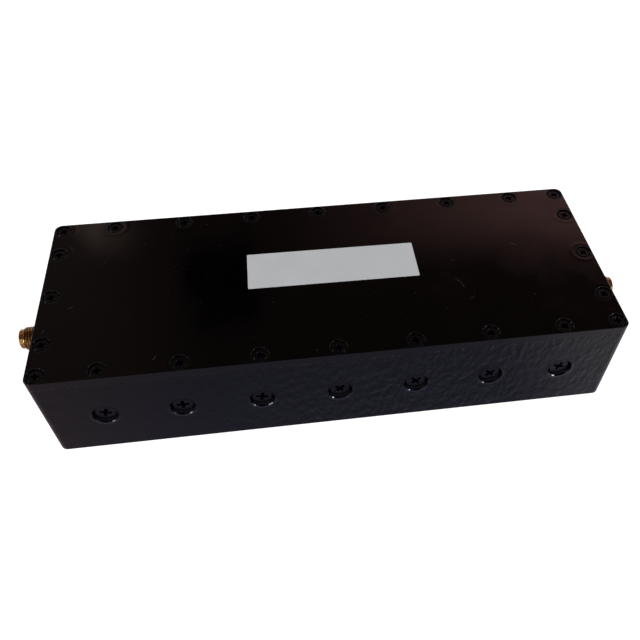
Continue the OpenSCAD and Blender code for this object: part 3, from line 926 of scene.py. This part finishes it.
def rounded_square(half, radius):
    """Points of a square with round corners, counter-clockwise."""
    points = []
    for corner in range(4):
        middle = math.radians(45 + 90 * corner)
        cx = math.copysign(half - radius, math.cos(middle))
        cy = math.copysign(half - radius, math.sin(middle))
        for i in range(CORNER_STEPS + 1):
            angle = math.radians(90 * corner + 90 * i / CORNER_STEPS)
            points.append((cx + radius * math.cos(angle), cy + radius * math.sin(angle)))
    return points


def along_axis(origin, direction):
    """Matrix that takes +Z at the world's origin to a direction at another point."""
    turn = Vector(direction).to_track_quat("Z", "Y").to_matrix().to_4x4()
    return Matrix.Translation(origin) @ turn


# Operators

class FilterOperator:
    """What the operators here have in common."""

    bl_options = {"REGISTER", "UNDO"}


class FILTER_OT_housing(FilterOperator, bpy.types.Operator):
    """Paint the housing satin black outside and plate its cavity with silver"""

    bl_idname = "rf_filter.finish_housing"
    bl_label = "Finish Housing"

    def execute(self, context):
        settings = context.scene
        satin_paint(settings.filter_paint, settings.filter_metal).put_on(frame["nodes"]["housing"])
        return {"FINISHED"}


class FILTER_OT_cover(FilterOperator, bpy.types.Operator):
    """Paint the cover gloss black"""

    bl_idname = "rf_filter.finish_cover"
    bl_label = "Finish Cover"

    def execute(self, context):
        gloss_paint(context.scene.filter_paint).put_on(frame["nodes"]["cover"])
        return {"FINISHED"}


class FILTER_OT_black_screws(FilterOperator, bpy.types.Operator):
    """Blacken the cover screws and the rod screws"""

    bl_idname = "rf_filter.finish_black_screws"
    bl_label = "Finish Black Screws"

    def execute(self, context):
        nodes, scene = frame["nodes"], context.scene
        black_oxide(scene.filter_metal, scene.filter_paint).put_on(nodes["cover_screws"])
        painted_screws(scene.filter_paint).put_on(nodes["rod_screws"])
        return {"FINISHED"}


class FILTER_OT_resonators(FilterOperator, bpy.types.Operator):
    """Plate the resonators and the tap wires with silver"""

    bl_idname = "rf_filter.finish_resonators"
    bl_label = "Finish Resonators"

    def execute(self, context):
        nodes = frame["nodes"]
        rods = [nodes[f"resonator_{i + 1}"] for i in range(RODS)]
        wires = [nodes[f"{port}_tap_wire"] for port in PORTS]
        silver_plate(context.scene.filter_metal).put_on(*rods, *wires)
        return {"FINISHED"}


class FILTER_OT_tuning_screws(FilterOperator, bpy.types.Operator):
    """Cut the threads and slots of the tuning screws"""

    bl_idname = "rf_filter.build_tuning_screws"
    bl_label = "Build Tuning Screws"

    def execute(self, context):
        thread = context.scene.filter_thread
        finish = turned_metal("turned_brass", context.scene.filter_metal.brass, BRASS_GROOVE, "Y",
                              roughness=0.26)
        for i in range(RODS):
            node = f"tuning_screw_{i + 1}"
            screw = self.threaded_rod(f"{node}_threaded", node, thread)
            self.cut_slot(screw, node, thread, i * thread.slot_step)
            finish.put_on(screw)
            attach(screw, f"tuner_{i + 1}")
            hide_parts(node)
        return {"FINISHED"}

    def threaded_rod(self, name, node, thread):
        """Rod along +Y with a thread from end to end and a bevel at both ends."""
        low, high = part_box(node)
        radius, length = (high.x - low.x) / 2, high.y - low.y
        bevel = 0.3 * MM
        cut = thread_cut(0, length, thread.tuning_pitch, thread.tuning_depth)
        lathe = Lathe()
        inner = radius - bevel
        rings = [lathe.ring(0, inner)]
        for height in steps_between(bevel, length - bevel, thread.tuning_pitch / RINGS_PER_TURN):
            rings.append(lathe.ring(height, radius, cut))
        rings.append(lathe.ring(length, inner))
        lathe.turn(rings)
        lathe.flat([rings[0]], up=False)
        lathe.flat([rings[-1]], up=True)
        middle = (low + high) / 2
        return lathe.finish(name, along_axis((middle.x, low.y, middle.z), (0, 1, 0)))

    def cut_slot(self, screw, node, thread, turn):
        """Takes the screwdriver slot out of the screw's outer end."""
        low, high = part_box(node)
        middle = (low + high) / 2
        cutter = bpy.data.meshes.new("slot_cutter")
        box = bmesh.new()
        bmesh.ops.create_cube(box, size=1)
        sides = (2 * (high.x - low.x), 2 * thread.slot_depth, thread.slot_width, 1)
        place = (Matrix.Translation((middle.x, high.y, middle.z)) @ Matrix.Rotation(-turn, 4, "Y")
                 @ Matrix.Diagonal(sides))
        box.transform(place)
        box.to_mesh(cutter)
        box.free()
        blade = bpy.data.objects.new("slot_cutter", cutter)
        bpy.context.scene.collection.objects.link(blade)
        slot = screw.modifiers.new("Slot", "BOOLEAN")
        slot.operation = "DIFFERENCE"
        slot.solver = "EXACT"
        slot.object = blade
        bpy.context.view_layer.update()
        shaped = screw.evaluated_get(bpy.context.evaluated_depsgraph_get())
        screw.data = bpy.data.meshes.new_from_object(shaped)
        screw.modifiers.clear()
        bpy.data.objects.remove(blade)
        if not screw.data.polygons:
            raise RuntimeError(f"{screw.name} was lost when its slot was cut")


class FILTER_OT_lock_nuts(FilterOperator, bpy.types.Operator):
    """Finish the brass lock nuts"""

    bl_idname = "rf_filter.finish_lock_nuts"
    bl_label = "Finish Lock Nuts"

    def execute(self, context):
        nuts = [frame["nodes"][f"lock_nut_{i + 1}"] for i in range(RODS)]
        turned_metal("nut_brass", context.scene.filter_metal.brass, BRASS_GROOVE, "Y",
                     roughness=0.3).put_on(*nuts)
        return {"FINISHED"}


# Flange of a jack, as in the packed model: pitch and radius of its holes, its corners and its bevel
FLANGE_PITCH = 8.64 * MM
FLANGE_HOLE = 1.24 * MM
FLANGE_CORNER = 0.5 * MM
FLANGE_BEVEL = 0.12 * MM
# Gap on the radius between a jack and its insulator
COAX_FIT = 0.03 * MM


class FILTER_OT_jacks(FilterOperator, bpy.types.Operator):
    """Build the gold-plated jacks with their flanges and cut threads"""

    bl_idname = "rf_filter.build_jacks"
    bl_label = "Build Jacks"

    def execute(self, context):
        thread = context.scene.filter_thread
        finish = turned_metal("gold_plate", context.scene.filter_metal.gold, GOLD_GROOVE, "X",
                              roughness=0.2)
        for port, side in PORTS.items():
            jack = self.build_jack(port, side, thread)
            finish.put_on(jack)
            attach(jack, "filter")
            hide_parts(f"{port}_jack")
        return {"FINISHED"}

    def build_jack(self, port, side, thread):
        """Flange, threaded barrel, lip and mouth in one piece, from the face of the end wall out."""
        low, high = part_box(f"{port}_jack")
        cut_mount, mouth = MOUNTS[f"{port}_thread"], MOUNTS[f"{port}_mouth"]
        face = abs(high.x if side < 0 else low.x)
        length = high.x - low.x
        middle = abs(cut_mount["pos_m"][0]) - face
        half = cut_mount["dims"]["length_mm"] * MM / 2
        flange, thread_end = middle - half, middle + half
        crest = cut_mount["dims"]["r_mm"] * MM
        mouth_r = mouth["dims"]["r_mm"] * MM
        mouth_floor = length - mouth["dims"]["length_mm"] * MM
        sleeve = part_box(f"{port}_insulator")
        bore = (sleeve[1].z - sleeve[0].z) / 2 + COAX_FIT
        lip = thread.jack_lip / 2
        bevel = 0.2 * MM
        cut = thread_cut(flange, thread_end, thread.jack_pitch, thread.jack_depth)

        lathe = Lathe(segments=96)
        rings = [lathe.ring(flange, crest)]
        last = thread_end - bevel
        for height in steps_between(flange + bevel, last, thread.jack_pitch / RINGS_PER_TURN):
            rings.append(lathe.ring(height, crest, cut))
        rings.append(lathe.ring(thread_end, crest - 1.5 * bevel))
        rings.append(lathe.ring(thread_end, lip))
        rings.append(lathe.ring(length - bevel, lip))
        rings.append(lathe.ring(length, lip - bevel))
        rings.append(lathe.ring(length, mouth_r + bevel / 4))
        rings.append(lathe.ring(length - bevel / 4, mouth_r))
        rings.append(lathe.ring(mouth_floor, mouth_r))
        rings.append(lathe.ring(mouth_floor, bore))
        rings.append(lathe.ring(0, bore))
        lathe.turn(rings)
        self.build_flange(lathe, port, flange, rings[0], rings[-1])
        return lathe.finish(f"{port}_jack_threaded",
                            along_axis((side * face, 0, MOUNTS[f"{port}_thread"]["pos_m"][2]),
                                       (side, 0, 0)), sharp=40)

    def build_flange(self, lathe, port, thickness, barrel_foot, bore_foot):
        """Square flange with four screw holes, joined to the barrel's first and last rings."""
        low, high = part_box(f"{port}_jack")
        half = (high.y - low.y) / 2
        inset = rounded_square(half - FLANGE_BEVEL, FLANGE_CORNER - FLANGE_BEVEL)
        base = lathe.outline(rounded_square(half, FLANGE_CORNER), 0)
        edge = lathe.outline(rounded_square(half, FLANGE_CORNER), thickness - FLANGE_BEVEL)
        top = lathe.outline(inset, thickness)
        lathe.turn([base, edge, top])
        low_holes, high_holes = [], []
        for across, up in ((-1, -1), (1, -1), (1, 1), (-1, 1)):
            centre = (across * FLANGE_PITCH / 2, up * FLANGE_PITCH / 2)
            low_holes.append(lathe.ring(0, FLANGE_HOLE, centre=centre, segments=32))
            high_holes.append(lathe.ring(thickness, FLANGE_HOLE, centre=centre, segments=32))
            lathe.wall(high_holes[-1], low_holes[-1])
        lathe.flat([base, *low_holes, bore_foot], up=False)
        lathe.flat([top, *high_holes, barrel_foot], up=True)


class FILTER_OT_contacts(FilterOperator, bpy.types.Operator):
    """Plate the centre contacts with gold and finish the insulators round them"""

    bl_idname = "rf_filter.finish_contacts"
    bl_label = "Finish Contacts"

    def execute(self, context):
        nodes = frame["nodes"]
        turned_metal("contact_gold", context.scene.filter_metal.gold, GOLD_GROOVE, "X",
                     roughness=0.2).put_on(*[nodes[f"{port}_contact"] for port in PORTS])
        fluoropolymer().put_on(*[nodes[f"{port}_insulator"] for port in PORTS])
        return {"FINISHED"}


class FILTER_OT_flange_screws(FilterOperator, bpy.types.Operator):
    """Finish the stainless screws that hold the jacks"""

    bl_idname = "rf_filter.finish_flange_screws"
    bl_label = "Finish Flange Screws"

    def execute(self, context):
        screws = [frame["nodes"][f"{port}_flange_screws"] for port in PORTS]
        turned_metal("stainless_steel", context.scene.filter_metal.steel, STEEL_GROOVE, "X",
                     roughness=0.28).put_on(*screws)
        return {"FINISHED"}


class FILTER_OT_label(FilterOperator, bpy.types.Operator):
    """Lay the blank label on the cover"""

    bl_idname = "rf_filter.build_label"
    bl_label = "Build Label"

    def execute(self, context):
        label = context.scene.filter_label
        low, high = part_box("label")
        length, width = self.film_sides(high.x - low.x, high.y - low.y, label.turn)
        thickness = high.z - low.z
        bevel = 0.3 * thickness
        lathe = Lathe()
        loops = []
        for height, inset in ((0, 0), (thickness - bevel, 0), (thickness, bevel)):
            points = self.film_outline(length, width, label.corner, inset)
            loops.append(lathe.outline(points, height))
        lathe.turn(loops)
        lathe.flat([loops[0]], up=False)
        lathe.flat([loops[-1]], up=True)
        middle = (low + high) / 2
        place = Matrix.Translation((middle.x, middle.y, low.z)) @ Matrix.Rotation(label.turn, 4, "Z")
        film = lathe.finish("label_film", place)
        label_film(label).put_on(film)
        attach(film, "filter")
        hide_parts("label")
        return {"FINISHED"}

    def film_sides(self, across, up, turn):
        """Length and width of a turned rectangle, from the sides of the box that holds it."""
        cos, sin = math.cos(turn), abs(math.sin(turn))
        share = cos * cos - sin * sin
        return (across * cos - up * sin) / share, (up * cos - across * sin) / share

    def film_outline(self, length, width, corner, inset):
        """Outline of the film: a rectangle with small round corners."""
        radius = corner - inset
        points = []
        for x, y in rounded_square(radius + MM, radius):
            points.append((x + math.copysign(length / 2 - inset - radius - MM, x),
                           y + math.copysign(width / 2 - inset - radius - MM, y)))
        return points


class Lamp(NamedTuple):
    """Soft square lamp that points at the filter: a mirrored one only gives its reflection."""

    name: str
    place: tuple
    size: float
    power: float
    colour: tuple
    mirrored: bool


LAMPS = (
    Lamp("key_lamp", (-0.30, -0.50, 0.85), 1.20, 7.8, (1.0, 0.985, 0.97), mirrored=False),
    Lamp("fill_lamp", (0.75, -0.10, 0.65), 0.80, 2.4, (0.97, 0.985, 1.0), mirrored=False),
    Lamp("left_lamp", (-0.62, 0.06, 0.40), 0.10, 0.5, (1.0, 0.96, 0.90), mirrored=True),
    Lamp("right_lamp", (0.58, -0.10, 0.46), 0.08, 0.25, (0.95, 0.92, 1.0), mirrored=True),
    Lamp("side_lamp", (0.46, -0.34, 0.12), 0.12, 3.4, (0.70, 0.87, 1.0), mirrored=True),
    Lamp("near_lamp", (-0.42, -0.36, 0.12), 0.10, 1.5, (1.0, 0.96, 0.92), mirrored=True),
)


class RoomPatch(NamedTuple):
    """Soft bright or dark area of the room that gloss reflects, placed by direction in degrees.

    It has its full colour within inner half widths across and up, and fades out to outer ones.
    Its lean is its rise for each degree across.
    """

    azimuth: float
    elevation: float
    inner: tuple
    outer: tuple
    colour: tuple
    lean: float = 0.0


HORIZON_COLOUR = (0.9, 0.9, 0.9)
CEILING_COLOUR = (0.122, 0.070, 0.070)
ROOM_PATCHES = (
    RoomPatch(-32, 44, (8, 8), (24, 18), (0.257, 0.184, 0.165)),
    RoomPatch(46, 33.4, (0, 1), (49, 6), (1.84, 0.98, 0.92), lean=-0.16),
    RoomPatch(-17.4, 37, (0.8, 0.8), (3.2, 4.0), (1.01, 0.70, 0.64)),
    RoomPatch(-6.9, 44.6, (3.2, 2.6), (5.0, 4.4), (0.0, 0.0, 0.012)),
    RoomPatch(-37, 58, (4, 4), (10, 8), (1.0, 0.80, 0.50)),
    RoomPatch(-156, 34, (2, 2), (7, 6), (3.2, 3.6, 3.9)),
    RoomPatch(180, 50, (14, 10), (34, 24), (0.012, 0.012, 0.019)),
)


# Sines of the elevations between which the room turns from its horizon to its ceiling
HORIZON_TOP = math.sin(math.radians(12))
CEILING_FOOT = math.sin(math.radians(30))
# Colour with which the room lights surfaces
ROOM_FILL = (0.35, 0.35, 0.35)

# Floor that gloss mirrors, with painted shadow and light: dim close to the filter as if in its shade,
# brighter at both ends and pale further away
FLOOR_MIDDLE = (0.34, 0.33, 0.48)
FLOOR_LEFT = (0.53, 0.42, 0.48)
FLOOR_RIGHT = (1.0, 0.93, 1.0)
FLOOR_FAR = (0.9, 0.9, 0.95)
# Where it turns from the middle to its left and to its right, and how far out it turns pale
TO_LEFT = (-0.030, -0.085)
TO_RIGHT = (0.045, 0.090)
TO_FAR = (0.022, 0.095)

# Width of the camera's sensor in millimetres
SENSOR_WIDTH = 36


class FILTER_OT_stage(FilterOperator, bpy.types.Operator):
    """Set up the camera, the lamps, the pale floor and the room"""

    bl_idname = "rf_filter.set_stage"
    bl_label = "Set Stage"

    def execute(self, context):
        stage = context.scene.filter_stage
        self.add_camera(context.scene, stage)
        for lamp in LAMPS:
            self.add_lamp(context.scene, lamp, stage.lamp_level)
        self.add_floor(context.scene, stage.floor_size)
        self.add_room(context.scene)
        context.scene.view_settings.view_transform = "Standard"
        return {"FINISHED"}

    def add_camera(self, scene, stage):
        """Camera at the photograph's viewing angle."""
        data = bpy.data.cameras.new("camera")
        data.sensor_width = SENSOR_WIDTH
        data.lens = stage.lens
        data.shift_x, data.shift_y = stage.shift
        data.clip_start, data.clip_end = 0.005, 100
        camera = bpy.data.objects.new("camera", data)
        line = Vector(stage.camera_aim) - Vector(stage.camera_place)
        turn = line.to_track_quat("-Z", "Y").to_matrix().to_4x4()
        camera.matrix_world = (Matrix.Translation(stage.camera_place) @ turn
                               @ Matrix.Rotation(stage.camera_roll, 4, "Z"))
        scene.collection.objects.link(camera)
        scene.camera = camera

    def add_lamp(self, scene, lamp, level):
        """Area lamp that points at the middle of the filter."""
        data = bpy.data.lights.new(lamp.name, "AREA")
        data.size = lamp.size
        data.energy = lamp.power * level
        data.color = lamp.colour
        obj = bpy.data.objects.new(lamp.name, data)
        obj.location = lamp.place
        obj.visible_glossy = lamp.mirrored
        obj.visible_diffuse = not lamp.mirrored
        obj.rotation_euler = (-Vector(lamp.place)).to_track_quat("-Z", "Y").to_euler()
        scene.collection.objects.link(obj)

    def add_floor(self, scene, size):
        """Pale floor: white to the camera, with painted shadow and light in reflections, and with the
        filter's own shadow.
        """
        builder = bmesh.new()
        bmesh.ops.create_grid(builder, x_segments=1, y_segments=1, size=size / 2)
        data = bpy.data.meshes.new("floor")
        builder.to_mesh(data)
        builder.free()
        floor = bpy.data.objects.new("floor", data)
        scene.collection.objects.link(floor)

        material = bpy.data.materials.new("pale_floor")
        material.use_nodes = True
        tree = material.node_tree
        tree.nodes.clear()
        rays = add_node(tree, "ShaderNodeLightPath").outputs
        plain = add_node(tree, "ShaderNodeBsdfDiffuse", {"Color": (0.85, 0.85, 0.85, 1)})
        shadowed = add_node(tree, "ShaderNodeBsdfDiffuse", {"Color": (0.45, 0.45, 0.45, 1)})
        glow = add_node(tree, "ShaderNodeEmission", {"Color": (1, 1, 1, 1), "Strength": 0.8})
        seen = add_node(tree, "ShaderNodeAddShader", {0: shadowed.outputs[0], 1: glow.outputs[0]})
        # Reflections see the floor with a painted shadow near the filter and painted light at its ends
        mirrored = add_node(tree, "ShaderNodeEmission", {"Color": self.mirrored_floor(tree)})
        to_camera = add_node(tree, "ShaderNodeMixShader", {
            0: rays["Is Camera Ray"], 1: plain.outputs[0], 2: seen.outputs[0]})
        surface = add_node(tree, "ShaderNodeMixShader", {
            0: self.sharp_ray(tree, rays), 1: to_camera.outputs[0], 2: mirrored.outputs[0]})
        add_node(tree, "ShaderNodeOutputMaterial", {"Surface": surface.outputs[0]})
        data.materials.append(material)

    def sharp_ray(self, tree, rays):
        """1 for the rays of a reflection and for those through a clear body."""
        return calculate(tree, "MAXIMUM", rays["Is Glossy Ray"], rays["Is Transmission Ray"])

    def mirrored_floor(self, tree):
        """Colour that the floor has in reflections, with a painted shadow close to the filter and
        painted light at its ends.
        """
        place = add_node(tree, "ShaderNodeTexCoord").outputs["Object"]
        place = add_node(tree, "ShaderNodeSeparateXYZ", {0: place}).outputs
        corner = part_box("housing")[1]
        away = [calculate(tree, "SUBTRACT", calculate(tree, "ABSOLUTE", place[axis]), reach)
                for axis, reach in (("X", corner.x), ("Y", corner.y))]
        distance = calculate(tree, "MAXIMUM", *away)
        colour = blend_colours(tree, remap(tree, place["X"], *TO_LEFT), FLOOR_MIDDLE, FLOOR_LEFT)
        colour = blend_colours(tree, remap(tree, place["X"], *TO_RIGHT), colour, FLOOR_RIGHT)
        return blend_colours(tree, remap(tree, distance, *TO_FAR), colour, FLOOR_FAR)

    def add_room(self, scene):
        """White to the camera, a plain fill on surfaces, and a dim warm room in reflections."""
        world = bpy.data.worlds.new("studio")
        scene.world = world
        world.use_nodes = True
        tree = world.node_tree
        tree.nodes.clear()
        rays = add_node(tree, "ShaderNodeLightPath").outputs
        direction = add_node(tree, "ShaderNodeTexCoord").outputs["Generated"]
        height = add_node(tree, "ShaderNodeSeparateXYZ", {0: direction}).outputs["Z"]
        ceiling = remap(tree, height, HORIZON_TOP, CEILING_FOOT)
        room = blend_colours(tree, ceiling, HORIZON_COLOUR, CEILING_COLOUR)
        for patch in ROOM_PATCHES:
            room = blend_colours(tree, self.patch_mask(tree, direction, patch), room, patch.colour)
        colour = blend_colours(tree, self.sharp_ray(tree, rays), ROOM_FILL, room)
        colour = blend_colours(tree, rays["Is Camera Ray"], colour, (1, 1, 1))
        background = add_node(tree, "ShaderNodeBackground", {"Color": colour})
        add_node(tree, "ShaderNodeOutputWorld", {"Surface": background.outputs[0]})

    def patch_mask(self, tree, direction, patch):
        """1 inside the patch and 0 outside it, by the angles across and up from its middle."""
        turned = add_node(tree, "ShaderNodeVectorRotate", {
            "Vector": direction, "Angle": math.radians(patch.azimuth),
        }, rotation_type="Z_AXIS").outputs["Vector"]
        turned = add_node(tree, "ShaderNodeSeparateXYZ", {0: turned}).outputs
        across = calculate(tree, "ARCTAN2", turned["X"], turned["Y"])
        middle = calculate(tree, "MULTIPLY_ADD", across, patch.lean, math.radians(patch.elevation))
        up = calculate(tree, "SUBTRACT", calculate(tree, "ARCSINE", turned["Z"]), middle)
        masks = [remap(tree, calculate(tree, "ABSOLUTE", angle), math.radians(outer),
                       math.radians(inner))
                 for angle, inner, outer in zip((across, up), patch.inner, patch.outer)]
        return calculate(tree, "MULTIPLY", *masks)


OPERATORS = (
    FILTER_OT_stage, FILTER_OT_housing, FILTER_OT_cover, FILTER_OT_label,
    FILTER_OT_black_screws, FILTER_OT_resonators, FILTER_OT_tuning_screws, FILTER_OT_lock_nuts,
    FILTER_OT_jacks, FILTER_OT_contacts, FILTER_OT_flange_screws,
)
SETTINGS = {
    "filter_paint": PaintSettings, "filter_metal": MetalSettings, "filter_thread": ThreadSettings,
    "filter_label": LabelSettings, "filter_stage": StageSettings,
}


class FILTER_PT_finish(bpy.types.Panel):
    """Sidebar panel that lists the finishing steps and their settings"""

    bl_label = "Bandpass Filter"
    bl_idname = "FILTER_PT_finish"
    bl_space_type = "VIEW_3D"
    bl_region_type = "UI"
    bl_category = "Filter"

    def draw(self, context):
        for operator in OPERATORS:
            self.layout.operator(operator.bl_idname)
        for name, group in SETTINGS.items():
            box = self.layout.box()
            box.label(text=group.__doc__)
            for setting in group.__annotations__:
                box.prop(getattr(context.scene, name), setting)


def register():
    """Registers the settings, the operators and the panel."""
    for name, group in SETTINGS.items():
        bpy.utils.register_class(group)
        setattr(bpy.types.Scene, name, bpy.props.PointerProperty(type=group))
    for cls in (*OPERATORS, FILTER_PT_finish):
        bpy.utils.register_class(cls)


def unregister():
    """Removes what register added."""
    for cls in (FILTER_PT_finish, *reversed(OPERATORS)):
        bpy.utils.unregister_class(cls)
    for name, group in SETTINGS.items():
        delattr(bpy.types.Scene, name)
        bpy.utils.unregister_class(group)


def main():
    """Builds everything in order."""
    register()
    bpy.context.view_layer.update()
    for operator in OPERATORS:
        group, name = operator.bl_idname.split(".")
        getattr(getattr(bpy.ops, group), name)()


if __name__ == "__main__":
    main()
